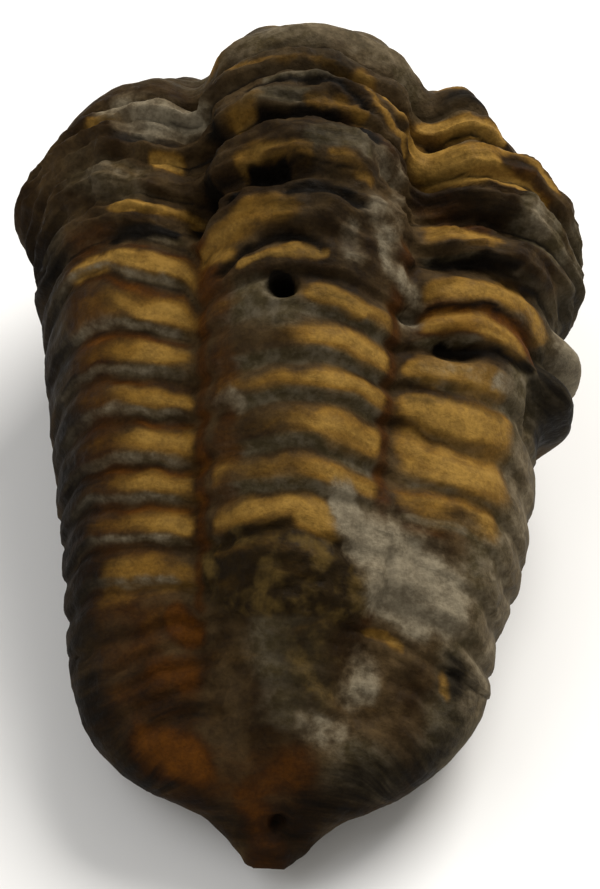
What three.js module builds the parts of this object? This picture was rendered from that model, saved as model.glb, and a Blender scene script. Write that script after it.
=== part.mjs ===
// A fossil trilobite, arched as if it had begun to roll up, lying on its underside.
// It is one piece of stone: the animal's armour, the rock that fills it, and scraps of rock left on it.
// Lengths are millimetres. +Y points to the head, +X to the animal's right, +Z up.
// A place on the back is given by a station, the distance from the tail tip along the crest,
// and by a lateral share, from -1 at the left margin over 0 at the crest to 1 at the right margin.

import * as THREE from 'three';

// The crest line, seen from the side
const BACK_LENGTH = 74;
const TAIL_TIP_Y = -26;
const TAIL_TIP_Z = 2.2;
const BACK_SLOPE_DEG = [
  [0, 70], [3, 56], [7, 45], [14, 38], [22, 33], [30, 27], [36, 22], [41, 14], [46, 2],
  [50, -12], [54, -30], [60, -55], [68, -82], [74, -100],
];

// Cross-sections, by station: how far each leans back from the vertical, the height of the margin,
// half of the width, and how far the margin is tucked in as a share of that half
const SECTION_LEAN_DEG = [
  [0, 30], [7, 32], [14, 28], [22, 22], [30, 17], [36, 12], [42, 5], [46, -2],
  [50, -10], [54, -17.5], [58, -24], [62, -28.5], [66, -31.5], [74, -32],
];
const MARGIN_HEIGHT = [
  [0, 2.2], [4, 2.6], [14, 3.2], [30, 3.6], [42, 4.2], [50, 5], [66, 5.2], [70, 5.8], [74, 6.8],
];
const HALF_WIDTH = [
  [0, 0], [0.5, 1.6], [1.6, 2.5], [2.6, 3.6], [4.5, 7.2], [7, 10.1], [10, 11.9], [14, 12.5], [20, 13.3],
  [26, 14.4], [32, 15.4], [38, 16.4], [42, 17.1], [46, 17.9], [50, 17.6], [54, 16.6], [60, 14.6],
  [65, 12.4], [70, 8.6], [73, 4.6], [74, 0],
];
const MARGIN_TUCK = [[0, 0], [28, 0.02], [38, 0.08], [44, 0.16], [56, 0.16], [66, 0.08], [74, 0]];

// The raised lobe along the middle
const LOBE_HALF_WIDTH = [
  [0, 1], [5.5, 1.2], [8, 3], [11, 4.1], [14.5, 4.8], [26, 5.7], [38, 6.4], [50, 6.8], [66, 6], [74, 3],
];
const LOBE_HEIGHT = [
  [0, 0], [6, 0.05], [9, 0.9], [14.5, 2.1], [26, 3.2], [38, 3.7], [47, 3.9], [52, 3.3], [66, 2.2], [74, 0.5],
];
const LOBE_ROUNDNESS = [[14, 1.15], [26, 1.05], [44, 0.75], [50, 0.78], [57, 0.95]];
// Shares of the lobe's half-width between which the lobe gives way to the side
const LOBE_END = [0.92, 1.12];

// The side of a section, from the crest to the margin: shares of the half-width and of the height
const SIDE_OUT = [[0, 0], [0.25, 0.3], [0.45, 0.56], [0.62, 0.78], [0.78, 0.93], [0.9, 0.99], [1, 1]];
const SIDE_UP = [[0, 1], [0.25, 1], [0.45, 0.965], [0.62, 0.855], [0.78, 0.62], [0.9, 0.33], [1, 0]];

// Stations of the edges between the rings of the tail shield, and between the segments of the thorax
const TAIL_RING_EDGES = [7, 8.7, 10.1, 11.4, 12.6, 13.7];
const SEGMENT_EDGES = [13.7, 15.7, 18, 20.6, 22.9, 25.7, 27.9, 30.4, 32.6, 35.2, 39.3, 43.2, 46.7, 48.8];
const NECK = 48.8;
const NECK_FURROW = 53.2;
const FRONT_BORDER = 71.2;

// How far rings and ribs run ahead of their station, or behind it at their outer ends
const LOBE_BOW = 0.5;
const REAR_RIB_BOW = 0.3;
const FRONT_RIB_BOW = 1.6;
const RIB_END_DROP = 1.4;
const TAIL_RIB_DROP = 2.6;
// The rear ribs of the right side drop further
const RIGHT_RIB_DROP = 2.4;
// How far ribs lie ahead of their rings, by station
const LEFT_RIB_LEAD = [
  [25.6, 0], [28.3, 0.4], [31.1, 0.7], [34.3, 1.7], [36.8, 1.6], [40.3, 0.8], [43.2, 0],
];
const RIGHT_RIB_LEAD = [[25.6, 0], [28.6, 0.7], [33, 0.4], [36.2, 1], [40, 0.7], [43.2, 0]];

// Heights of the relief
const TAIL_RING_RELIEF = 0.3;
const REAR_SEGMENT_RELIEF = 0.6;
const FRONT_SEGMENT_RELIEF = 0.9;
const NECK_RING_RELIEF = 0.65;
const NECK_FURROW_DEPTH = 0.7;
const FRONT_BORDER_RELIEF = 0.6;
// Place and width of the furrow beside the lobe, as shares of the lobe's half-width
const FURROW_PLACE = 1.06;
const FURROW_WIDTH = 0.2;
const FURROW_DEPTH = [
  [7, 0], [14, 0.25], [22, 0.35], [32, 0.6], [46, 1.2], [52, 1], [58, 0.4], [66, 0.3], [71, 0],
];

// Lumps, stubs, chips and pits: station, lateral share, reach along, reach across, height
const SPOTS = [
  { name: 'blunt tail tip', at: [0.6, -0.05], reach: [1.1, 1.4], height: 0.95 },
  { name: 'left side of the tail', at: [6.4, -0.85], reach: [2, 3], height: 0.42 },
  { name: 'dent below the left rib tip', at: [42.3, -0.87], reach: [1, 2.2], height: -0.5 },
  { name: 'left rib tip', at: [43.8, -0.84], reach: [0.9, 2], height: 0.3 },
  { name: 'left shoulder edge', at: [47.3, -0.8], reach: [1.7, 2.6], height: 0.45 },
  { name: 'dark stub on the right side', at: [31.7, 0.86], reach: [1.6, 2.8], height: 1.9 },
  { name: 'grey stub on the right side', at: [35.4, 0.88], reach: [1.5, 2.2], height: 2 },
  { name: 'right side ahead of the stubs', at: [41.5, 0.84], reach: [2.7, 2.6], height: 0.85 },
  { name: 'right side behind the stubs', at: [22, 0.9], reach: [5, 4], height: 0.6 },
  { name: 'broken right shoulder', at: [52.2, 0.69], reach: [3.8, 5], height: -2.9 },
  { name: 'dark knob on the right cheek', at: [50.9, 0.42], reach: [1.7, 3], height: 0.95 },
  { name: 'pale lump on the left shoulder', at: [47.5, -0.42], reach: [1.3, 3.6], height: 0.6 },
  { name: 'block of rock on the rear rings', at: [16.2, 0.03], reach: [2.5, 4.4], height: 0.9 },
  { name: 'rock on the rear right ribs', at: [19, 0.55], reach: [4.6, 6.5], height: 0.6 },
  { name: 'rock in the right furrow', at: [18, 0.33], reach: [4, 1.3], height: 0.5 },
  { name: 'rock beside the hole', at: [31, -0.1], reach: [1.6, 2.4], height: 0.5 },
  { name: 'upper crumb of rock', at: [40.5, 0.14], reach: [1.4, 1.4], height: 0.5 },
  { name: 'middle crumb of rock', at: [37.6, 0.22], reach: [1.5, 1.4], height: 0.5 },
  { name: 'lower crumb of rock', at: [35.6, 0.33], reach: [1.4, 1.6], height: 0.6 },
  { name: 'hole in the lobe', at: [32.75, -0.06], reach: [1.1, 1.5], height: -1.6 },
  { name: 'pit in the left furrow', at: [38.8, -0.31], reach: [1.5, 1.3], height: -1.3 },
  { name: 'undercut above the pit', at: [39.6, -0.15], reach: [0.9, 2.6], height: -0.8 },
  { name: 'gap between right ribs', at: [37, 0.5], reach: [0.9, 4.4], height: -0.8 },
  { name: 'broken right rib', at: [41, 0.5], reach: [1.4, 3.6], height: -0.9 },
  { name: 'hole between right ribs', at: [31.4, 0.475], reach: [1, 1.8], height: -1 },
];
// On both sides of the head: the side lobes of the forehead, the cheeks and the eyes
const HEAD_SPOTS = [
  { name: 'cheek', at: [58.5, 0.5], reach: [3.6, 4.5], height: -0.9 },
  { name: 'rear side lobe', at: [58, 0.2], reach: [1.6, 1.6], height: 0.35 },
  { name: 'middle side lobe', at: [61, 0.185], reach: [1.4, 1.4], height: 0.5 },
  { name: 'front side lobe', at: [63.8, 0.17], reach: [1.2, 1.2], height: 0.4 },
  { name: 'eye', at: [62, 0.5], reach: [2, 2.4], height: 1.1 },
];
// Places where rock hides the rings and ribs, and the share of the relief that it hides
const COVERED = [
  { at: [16.2, 0.03], reach: [2.7, 4.8] },
  { at: [31, -0.08], reach: [1.8, 2.6] },
  { at: [18.6, 0.42], reach: [3.6, 5.4] },
  { at: [11, 0], reach: [2.6, 4] },
  { at: [38, 0.23], reach: [5, 2.2] },
  { at: [44.5, -0.55], reach: [4, 4] },
  { at: [10.5, 0.4], reach: [2.6, 4] },
];
const COVERED_SHARE = 0.75;
// Length of the side of a middle section, which turns a lateral share into millimetres
const SIDE_LENGTH = 24;
const SIDE_LENGTH_HALF_WIDTH = 16;

// The underside: rock, flat where it rests and rising to the margin
const FLAT_SHARE = 0.62;
const FLAT_FROM_Y = 12;
const FLAT_TO_Y = 22;

// Grid: nominal stations, lateral shares of the right half, and shares across the underside
const TAIL_STATIONS = [0.5, 1.6, 3, 4.5, 5.8];
const TAIL_RING_STEPS = [0, 0.33, 0.67];
const SEGMENT_STEPS = [0, 0.14, 0.34, 0.56, 0.8];
const HEAD_STATIONS = [
  48.8, 49.6, 50.5, 51.5, 52.4, 53.2, 54, 55.2, 56.5, 57.8, 59.2, 60.6, 62, 63.4, 65, 66.6, 68.2,
  69.5, 70.5, 71.3, 72.1, 73.1,
];
const SIDE_STEPS = [0.08, 0.16, 0.23, 0.28, 0.31, 0.34, 0.38, 0.44, 0.52, 0.61, 0.7, 0.78, 0.85, 0.92, 1];
const UNDERSIDE_STEPS = [0.1, 0.2, 0.36, 0.64, 0.8, 0.9];

// A smooth curve through points with rising first numbers, with no overshoot between them
function smoothCurve(points) {
  const last = points.length - 1;
  const gap = (i) => points[i + 1][0] - points[i][0];
  const rise = (i) => (points[i + 1][1] - points[i][1]) / gap(i);
  const slopes = points.map((point, i) => {
    if (i === 0) return rise(0);
    if (i === last) return rise(last - 1);
    if (rise(i - 1) * rise(i) <= 0) return 0;
    const before = 2 * gap(i) + gap(i - 1);
    const after = gap(i) + 2 * gap(i - 1);
    return (before + after) / (before / rise(i - 1) + after / rise(i));
  });
  return (x) => {
    const at = Math.min(Math.max(x, points[0][0]), points[last][0]);
    let i = 0;
    while (i < last - 1 && at > points[i + 1][0]) i += 1;
    const t = (at - points[i][0]) / gap(i);
    const ahead = t * t * (3 - 2 * t);
    const pull = slopes[i] * t * (1 - t) * (1 - t) - slopes[i + 1] * t * t * (1 - t);
    return points[i][1] * (1 - ahead) + points[i + 1][1] * ahead + pull * gap(i);
  };
}

// 0 below the low value, 1 above the high one, and an even blend between
function blend(low, high, x) {
  const t = Math.min(Math.max((x - low) / (high - low), 0), 1);
  return t * t * (3 - 2 * t);
}

function radians(degrees) {
  return (degrees * Math.PI) / 180;
}

const slopeAt = smoothCurve(BACK_SLOPE_DEG);
const leanAt = smoothCurve(SECTION_LEAN_DEG);
const marginHeightAt = smoothCurve(MARGIN_HEIGHT);
const halfWidthAt = smoothCurve(HALF_WIDTH);
const tuckAt = smoothCurve(MARGIN_TUCK);
const lobeWidthAt = smoothCurve(LOBE_HALF_WIDTH);
const lobeHeightAt = smoothCurve(LOBE_HEIGHT);
const lobeRoundnessAt = smoothCurve(LOBE_ROUNDNESS);
const furrowDepthAt = smoothCurve(FURROW_DEPTH);
const leftLeadAt = smoothCurve(LEFT_RIB_LEAD);
const rightLeadAt = smoothCurve(RIGHT_RIB_LEAD);
const sideOut = smoothCurve(SIDE_OUT);
const sideUp = smoothCurve(SIDE_UP);
const tailRingAt = smoothCurve(TAIL_RING_EDGES.map((edge, i) => [edge, i]));
const segmentAt = smoothCurve(SEGMENT_EDGES.map((edge, i) => [edge, i]));

// The crest line, from its slope
const CREST_STEP = 0.1;
const crestLine = [[TAIL_TIP_Y, TAIL_TIP_Z]];
for (let i = 0; i < BACK_LENGTH / CREST_STEP; i += 1) {
  const slope = radians(slopeAt((i + 0.5) * CREST_STEP));
  const [y, z] = crestLine[i];
  crestLine.push([y + Math.cos(slope) * CREST_STEP, z + Math.sin(slope) * CREST_STEP]);
}
function crestAt(station) {
  const steps = Math.min(Math.max(station / CREST_STEP, 0), crestLine.length - 1.001);
  const i = Math.floor(steps);
  const part = steps - i;
  return [0, 1].map((axis) => crestLine[i][axis] * (1 - part) + crestLine[i + 1][axis] * part);
}

// A cross-section's place and size
function sectionAt(station) {
  const [crestY, crestZ] = crestAt(station);
  const lean = radians(leanAt(station));
  const marginZ = Math.min(marginHeightAt(station), crestZ);
  const height = (crestZ - marginZ) / Math.cos(lean);
  return {
    crestY,
    crestZ,
    lean,
    height,
    halfWidth: halfWidthAt(station),
    lobeWidth: lobeWidthAt(station),
    lobeHeight: lobeHeightAt(station) * blend(0, 7, height),
    lobeRoundness: lobeRoundnessAt(station),
    tuck: tuckAt(station),
  };
}

// How far the rings and ribs run ahead of their nominal station
function sweepAt(nominal, lateral) {
  const share = sideOut(Math.abs(lateral));
  const lobeShare = (halfWidthAt(nominal) * share) / lobeWidthAt(nominal);
  const onLobe = 1 - blend(...LOBE_END, lobeShare);
  const lobeBow = LOBE_BOW * (1 - Math.min(lobeShare, 1) ** 2);
  const reach = REAR_RIB_BOW + (FRONT_RIB_BOW - REAR_RIB_BOW) * blend(26, 38, nominal);
  const ribBow = reach * blend(0.38, 0.75, share) - RIB_END_DROP * blend(0.82, 1, share);
  const tailBow = -TAIL_RIB_DROP * blend(0.3, 1, share) * blend(3, 8, nominal);
  const inThorax = blend(12, 17, nominal) * (1 - blend(NECK, 58, nominal));
  const inTail = 1 - blend(12, 17, nominal);
  const inRear = blend(12, 16, nominal) * (1 - blend(22, 30, nominal));
  const rightDrop = RIGHT_RIB_DROP * blend(0.3, 0.8, lateral) * inRear;
  const sideBow = ribBow * inThorax + tailBow * inTail - rightDrop;
  const fade = blend(0, 4, nominal) * (1 - blend(58, 66, nominal));
  return (onLobe * lobeBow + (1 - onLobe) * sideBow) * fade;
}

// How strongly a spot is felt: 1 at its middle, falling off past its reach
function spotWeight(spot, station, lateral) {
  const across = (lateral - spot.at[1]) * SIDE_LENGTH * (halfWidthAt(station) / SIDE_LENGTH_HALF_WIDTH);
  const along = station - spot.at[0];
  const distance = Math.hypot(along / spot.reach[0], across / spot.reach[1]);
  return Math.exp(-0.7 * distance ** 4);
}

// A ring's or rib's profile along the body: steep at its rear edge, easing down to the front
function segmentProfile(phase) {
  return blend(0, 0.22, phase) * (1 - blend(0.5, 1, phase) ** 1.5) - 0.35;
}

// How much of the rings and ribs shows through the rock
function bareAt(station, lateral) {
  return COVERED.reduce((left, spot) => left * (1 - COVERED_SHARE * spotWeight(spot, station, lateral)), 1);
}

// Relief of the neck ring, the segments or the tail's rings
function ringRelief(nominal, share, onLobe, bare) {
  if (nominal >= NECK) {
    const neckRing = Math.sin(Math.PI * Math.min((nominal - NECK) / (NECK_FURROW - 0.8 - NECK), 1));
    const furrow = Math.exp(-(((nominal - NECK_FURROW) / 0.7) ** 2));
    const ring = NECK_RING_RELIEF * neckRing * (0.55 + 0.45 * onLobe);
    return ring - NECK_FURROW_DEPTH * furrow * (0.4 + 0.6 * onLobe);
  }
  if (nominal >= SEGMENT_EDGES[0]) {
    const front = blend(34, 44, nominal);
    const height = REAR_SEGMENT_RELIEF * (1 - front) + FRONT_SEGMENT_RELIEF * front;
    return height * bare * segmentProfile(segmentAt(nominal) % 1);
  }
  if (nominal >= TAIL_RING_EDGES[0]) {
    const fade = (1 - blend(0.7, 0.95, share)) * blend(TAIL_RING_EDGES[0], 9, nominal);
    return TAIL_RING_RELIEF * bare * fade * (Math.sin(Math.PI * (tailRingAt(nominal) % 1)) ** 0.8 - 0.5);
  }
  return 0;
}

// Height of the relief over the smooth form
function reliefAt(nominal, station, lateral, section) {
  const share = sideOut(Math.abs(lateral));
  const lobeShare = (section.halfWidth * share) / section.lobeWidth;
  const onLobe = 1 - blend(...LOBE_END, lobeShare);
  const bare = bareAt(station, lateral);
  const lead = (1 - onLobe) * (lateral < 0 ? leftLeadAt(nominal) : rightLeadAt(nominal));
  const rings = ringRelief(nominal - lead, share, onLobe, bare);
  const inFurrow = Math.exp(-(((lobeShare - FURROW_PLACE) / FURROW_WIDTH) ** 2));
  const furrow = furrowDepthAt(nominal) * bare * inFurrow;
  const border = FRONT_BORDER_RELIEF * Math.exp(-(((nominal - FRONT_BORDER) / 1.2) ** 2));
  let height = rings * blend(1, 7, section.height) * (1 - 0.4 * blend(0.85, 1, share)) - furrow + border;
  for (const spot of SPOTS) height += spot.height * spotWeight(spot, station, lateral);
  for (const spot of HEAD_SPOTS) height += spot.height * spotWeight(spot, station, Math.abs(lateral));
  return height * blend(0, 0.4, nominal) * (1 - blend(72.5, 74, nominal));
}

// A point of the smooth form, with what the relief needs to know about it
function backPoint(nominal, lateral) {
  const station = nominal + sweepAt(nominal, lateral);
  const section = sectionAt(station);
  const out = sideOut(Math.abs(lateral)) - section.tuck * blend(0.8, 1, Math.abs(lateral));
  const x = section.halfWidth * out;
  const lobe = Math.max(1 - (x / section.lobeWidth) ** 2, 0) ** section.lobeRoundness;
  const up = (section.height - section.lobeHeight) * sideUp(Math.abs(lateral)) + section.lobeHeight * lobe;
  const drop = section.height - up;
  const place = new THREE.Vector3(
    Math.sign(lateral) * x,
    section.crestY + Math.sin(section.lean) * drop,
    section.crestZ - Math.cos(section.lean) * drop,
  );
  return { nominal, station, lateral, section, place };
}

// Nominal stations of the grid, from the tail to the head, without the two end points
function stationsBetween(edges, steps) {
  return edges.slice(0, -1).flatMap((edge, i) => steps.map((step) => edge + (edges[i + 1] - edge) * step));
}
const stations = [
  ...TAIL_STATIONS,
  ...stationsBetween(TAIL_RING_EDGES, TAIL_RING_STEPS),
  ...stationsBetween(SEGMENT_EDGES, SEGMENT_STEPS),
  ...HEAD_STATIONS,
];
const laterals = [...SIDE_STEPS.map((step) => -step).reverse(), 0, ...SIDE_STEPS];

// The back: the smooth form, moved along its normals by the relief
function makeBack() {
  const smooth = stations.map((nominal) => laterals.map((lateral) => backPoint(nominal, lateral)));
  const across = new THREE.Vector3();
  const along = new THREE.Vector3();
  return smooth.map((row, i) => row.map((point, j) => {
    const next = smooth[Math.min(i + 1, stations.length - 1)][j].place;
    const previous = smooth[Math.max(i - 1, 0)][j].place;
    const right = row[Math.min(j + 1, row.length - 1)].place;
    const left = row[Math.max(j - 1, 0)].place;
    along.subVectors(next, previous);
    across.subVectors(right, left);
    const normal = across.clone().cross(along).normalize();
    const relief = reliefAt(point.nominal, point.station, point.lateral, point.section);
    return point.place.clone().addScaledVector(normal, relief);
  }));
}

// A row of the underside, from the right margin to the left one
function undersideRow(backRow) {
  const rightMargin = backRow[backRow.length - 1];
  const leftMargin = backRow[0];
  return UNDERSIDE_STEPS.map((step) => {
    const point = rightMargin.clone().lerp(leftMargin, step);
    const fromMiddle = Math.abs(2 * step - 1);
    const sideRise = blend(FLAT_SHARE, 1, fromMiddle);
    const endRise = blend(FLAT_FROM_Y, FLAT_TO_Y, Math.abs(point.y));
    point.z *= Math.max(sideRise, endRise);
    return point;
  });
}

// One closed surface: a ring of points for each station, and a point at each end
function makeFossilGeometry() {
  const rings = makeBack().map((row) => [...row, ...undersideRow(row)]);
  const size = rings[0].length;
  const tail = backPoint(0, 0).place;
  const head = backPoint(BACK_LENGTH, 0).place;
  const positions = [tail, ...rings.flat(), head].flatMap((point) => point.toArray());
  const faces = [];
  const vertex = (ring, i) => 1 + ring * size + (i % size);
  const headVertex = 1 + rings.length * size;
  for (let i = 0; i < size; i += 1) {
    faces.push(0, vertex(0, i + 1), vertex(0, i));
    faces.push(headVertex, vertex(rings.length - 1, i), vertex(rings.length - 1, i + 1));
  }
  for (let ring = 0; ring < rings.length - 1; ring += 1) {
    for (let i = 0; i < size; i += 1) {
      const corner = vertex(ring, i);
      const beside = vertex(ring, i + 1);
      const ahead = vertex(ring + 1, i);
      const opposite = vertex(ring + 1, i + 1);
      faces.push(corner, beside, opposite, corner, opposite, ahead);
    }
  }
  const geometry = new THREE.BufferGeometry();
  geometry.setAttribute('position', new THREE.Float32BufferAttribute(positions, 3));
  geometry.setIndex(faces);
  return geometry;
}

// The origin is the middle of the flat face that it rests on
function restAtOrigin(geometry) {
  geometry.computeBoundingBox();
  const { min, max } = geometry.boundingBox;
  geometry.translate(-(min.x + max.x) / 2, -(min.y + max.y) / 2, -min.z);
  geometry.computeVertexNormals();
  return geometry;
}

const fossilStone = new THREE.MeshStandardMaterial({ color: 0x8a6a3a, roughness: 0.72, metalness: 0 });
const trilobite = new THREE.Mesh(restAtOrigin(makeFossilGeometry()), fossilStone);
trilobite.name = 'trilobite';

const fossil = new THREE.Group();
fossil.add(trilobite);

export default fossil;
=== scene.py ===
"""A fossil trilobite: its fine surface, its banded stone, and the studio that it is shown in."""

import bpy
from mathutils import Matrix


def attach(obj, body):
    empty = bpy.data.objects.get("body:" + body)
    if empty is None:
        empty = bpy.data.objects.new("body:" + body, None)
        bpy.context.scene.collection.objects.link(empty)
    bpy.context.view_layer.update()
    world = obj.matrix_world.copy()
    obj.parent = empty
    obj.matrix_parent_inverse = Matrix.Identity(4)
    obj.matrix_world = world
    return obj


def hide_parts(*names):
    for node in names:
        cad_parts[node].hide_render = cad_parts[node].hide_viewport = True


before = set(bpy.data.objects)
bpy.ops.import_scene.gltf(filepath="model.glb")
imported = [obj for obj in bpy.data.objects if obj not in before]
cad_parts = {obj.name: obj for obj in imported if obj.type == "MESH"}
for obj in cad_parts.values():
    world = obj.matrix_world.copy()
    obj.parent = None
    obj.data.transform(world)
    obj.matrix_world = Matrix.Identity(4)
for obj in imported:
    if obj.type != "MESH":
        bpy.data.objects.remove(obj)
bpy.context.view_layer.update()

import copy
import math
from itertools import product

import bpy
import numpy as np
from mathutils import Matrix, Vector

MM = 0.001

# Lengths are millimetres until the mesh is written. +Y points to the head, +X to the animal's right.
# A place on the back is given by a station, the distance from the tail tip along the crest,
# and by a lateral share, from -1 at the left margin over 0 at the crest to 1 at the right margin.

# The crest line, seen from the side
BACK_LENGTH = 74
TAIL_TIP = (-26.0, 2.2)
BACK_SLOPE_DEG = [
    (0, 70), (3, 56), (7, 45), (14, 38), (22, 33), (30, 27), (36, 22), (41, 14), (46, 2),
    (50, -12), (54, -30), (60, -55), (68, -82), (74, -100),
]

# Cross-sections, by station
SECTION_LEAN_DEG = [
    (0, 30), (7, 32), (14, 28), (22, 22), (30, 17), (36, 12), (42, 5), (46, -2),
    (50, -10), (54, -17.5), (58, -24), (62, -28.5), (66, -31.5), (74, -32),
]
MARGIN_HEIGHT = [
    (0, 2.2), (4, 2.6), (14, 3.2), (30, 3.6), (42, 4.2), (50, 5), (66, 5.2), (70, 5.8), (74, 6.8),
]
HALF_WIDTH = [
    (0, 0), (0.5, 1.6), (1.6, 2.5), (2.6, 3.6), (4.5, 7.2), (7, 10.1), (10, 11.9), (14, 12.5), (20, 13.3),
    (26, 14.4), (32, 15.4), (38, 16.4), (42, 17.1), (46, 17.9), (50, 17.6), (54, 16.6), (60, 14.6),
    (65, 12.4), (70, 8.6), (73, 4.6), (74, 0),
]
MARGIN_TUCK = [(0, 0), (28, 0.02), (38, 0.08), (44, 0.16), (56, 0.16), (66, 0.08), (74, 0)]

# The raised lobe along the middle
LOBE_HALF_WIDTH = [
    (0, 1), (5.5, 1.2), (8, 3), (11, 4.1), (14.5, 4.8), (26, 5.7), (38, 6.4), (50, 6.8), (66, 6), (74, 3),
]
LOBE_HEIGHT = [
    (0, 0), (6, 0.05), (9, 0.9), (14.5, 2.1), (26, 3.2), (38, 3.7), (47, 3.9), (52, 3.3), (66, 2.2),
    (74, 0.5),
]
LOBE_ROUNDNESS = [(14, 1.15), (26, 1.05), (44, 0.75), (50, 0.78), (57, 0.95)]
LOBE_EDGE_SOFTNESS = 0.15
# Shares of the lobe's half-width between which the lobe gives way to the side
LOBE_END = (0.92, 1.12)

# The side of a section, from the crest to the margin: shares of the half-width and of the height
SIDE_OUT = [(0, 0), (0.25, 0.3), (0.45, 0.56), (0.62, 0.78), (0.78, 0.93), (0.9, 0.99), (1, 1)]
SIDE_UP = [(0, 1), (0.25, 1), (0.45, 0.965), (0.62, 0.855), (0.78, 0.62), (0.9, 0.33), (1, 0)]
SIDE_LENGTH = 24
SIDE_LENGTH_HALF_WIDTH = 16

# Stations of the edges between rings and segments
TAIL_RING_EDGES = [7, 8.7, 10.1, 11.4, 12.6, 13.7]
SEGMENT_EDGES = [13.7, 15.7, 18, 20.6, 22.9, 25.7, 27.9, 30.4, 32.6, 35.2, 39.3, 43.2, 46.7, 48.8]
NECK = 48.8
NECK_FURROW = 53.2
FRONT_BORDER = 71.2

# How far rings and ribs run ahead of their station, or behind it at their outer ends
LOBE_BOW = 0.5
REAR_RIB_BOW = 0.3
FRONT_RIB_BOW = 1.6
RIB_END_DROP = 1.4
TAIL_RIB_DROP = 2.6
# The rear ribs of the right side drop further
RIGHT_RIB_DROP = 2.4
# How far ribs lie ahead of their rings, by station
LEFT_RIB_LEAD = [(25.6, 0), (28.3, 0.4), (31.1, 0.7), (34.3, 1.7), (36.8, 1.6), (40.3, 0.8), (43.2, 0)]
RIGHT_RIB_LEAD = [(25.6, 0), (28.6, 0.7), (33, 0.4), (36.2, 1), (40, 0.7), (43.2, 0)]

# Heights of the relief
TAIL_RING_RELIEF = 0.3
REAR_SEGMENT_RELIEF = 0.46
FRONT_SEGMENT_RELIEF = 0.9
NECK_RING_RELIEF = 0.65
NECK_FURROW_DEPTH = 0.7
FRONT_BORDER_RELIEF = 0.6
# Place and width of the furrow beside the lobe, as shares of the lobe's half-width
FURROW_PLACE = 1.06
FURROW_WIDTH = 0.2
FURROW_DEPTH = [(7, 0), (14, 0.25), (22, 0.35), (32, 0.6), (46, 1.2), (52, 1), (58, 0.4), (66, 0.3), (71, 0)]

# How fast a spot or stroke fades at its reach
FALL_OFF = 0.7
# Lumps, stubs, chips and pits: station and lateral share, reach along and across, height
SPOTS = {
    "blunt tail tip": ((0.6, -0.05), (1.1, 1.4), 0.95),
    "left side of the tail": ((6.4, -0.85), (2, 3), 0.42),
    "dent below the left rib tip": ((42.3, -0.87), (1, 2.2), -0.5),
    "left rib tip": ((43.8, -0.84), (0.9, 2), 0.3),
    "left shoulder edge": ((47.3, -0.8), (1.7, 2.6), 0.45),
    "dark stub on the right side": ((31.7, 0.86), (1.6, 2.8), 1.9),
    "grey stub on the right side": ((35.4, 0.88), (1.5, 2.2), 2),
    "right side ahead of the stubs": ((41.5, 0.84), (2.7, 2.6), 0.85),
    "right side behind the stubs": ((22, 0.9), (5, 4), 0.6),
    "broken right shoulder": ((52.2, 0.69), (3.8, 5), -2.9),
    "dark knob on the right cheek": ((50.9, 0.42), (1.7, 3), 0.95),
    "pale lump on the left shoulder": ((47.5, -0.42), (1.3, 3.6), 0.6),
    "block of rock on the rear rings": ((16.2, 0.03), (2.5, 4.4), 0.9),
    "rock on the rear right ribs": ((19, 0.55), (4.6, 6.5), 0.6),
    "rock beside the hole": ((31, -0.1), (1.6, 2.4), 0.5),
    "upper crumb of rock": ((40.5, 0.14), (1.4, 1.4), 0.5),
    "middle crumb of rock": ((37.6, 0.22), (1.5, 1.4), 0.5),
    "lower crumb of rock": ((35.6, 0.33), (1.4, 1.6), 0.6),
    "hole in the lobe": ((32.4, -0.055), (0.52, 0.9), -2.6),
    "pit in the left furrow": ((39, -0.31), (1.5, 1), -1.6),
    "undercut above the pit": ((39.6, -0.15), (0.7, 2.6), -0.9),
    "gap between right ribs": ((37, 0.5), (0.8, 4.4), -0.8),
    "broken right rib": ((41, 0.5), (1.4, 3.6), -1),
    "hole between right ribs": ((31.4, 0.475), (0.8, 1.5), -1.2),
    "pit in the tail tip": ((2.7, 0.07), (0.45, 0.5), -0.6),
    "ring-shaped pit": ((33, 0.35), (0.5, 0.5), -0.6),
    "rock in the right furrow": ((18, 0.33), (4, 1.3), 0.5),
}
# On both sides of the head
HEAD_SPOTS = {
    "cheek": ((58.5, 0.5), (3.6, 4.5), -0.9),
    "rear side lobe": ((58, 0.2), (1.6, 1.6), 0.35),
    "middle side lobe": ((61, 0.185), (1.4, 1.4), 0.5),
    "front side lobe": ((63.8, 0.17), (1.2, 1.2), 0.4),
    "eye": ((62, 0.5), (2, 2.4), 1.1),
}
# Places where rock hides the rings and ribs, and the share of the relief that it hides
COVERED_SHARE = 0.75
COVERED = [
    ((16.2, 0.03), (2.7, 4.8)),
    ((31, -0.08), (1.8, 2.6)),
    ((18.6, 0.42), (3.6, 5.4)),
    ((11, 0), (2.6, 4)),
    ((38, 0.23), (5, 2.2)),
    ((44.5, -0.55), (4, 4)),
    ((10.5, 0.4), (2.6, 4)),
]

# The underside: rock, flat where it rests and rising to the margin
FLAT_SHARE = 0.62
FLAT_FROM_Y = 12
FLAT_TO_Y = 22

# How far the end of the tail tip stands out
TIP_POINT = 0.25

# Heights of the fine relief
RIPPLE_HEIGHT = 0.3
FINE_RIPPLE_HEIGHT = 0.13
LUMP_HEIGHT = 0.2
CHUNK_HEIGHT = 0.32
LAYER_HEIGHT = 0.1
FRONT_LAYER_HEIGHT = 0.32
UNDERSIDE_LUMP_HEIGHT = 0.06

# Areas of the back: from, to and softness of the edge, by station and by lateral share
AREAS = {
    "left ribs": ((18.2, 37.4, 0.5), (-0.68, -0.325, 0.03)),
    "right ribs": ((19.5, 28.2, 0.5), (0.335, 0.68, 0.04)),
    "rings": ((17.5, 32.5, 0.8), (-0.25, 0.28, 0.02)),
    "rubble": ((8, 18, 2), (-0.3, 0.5, 0.08)),
}

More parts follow.
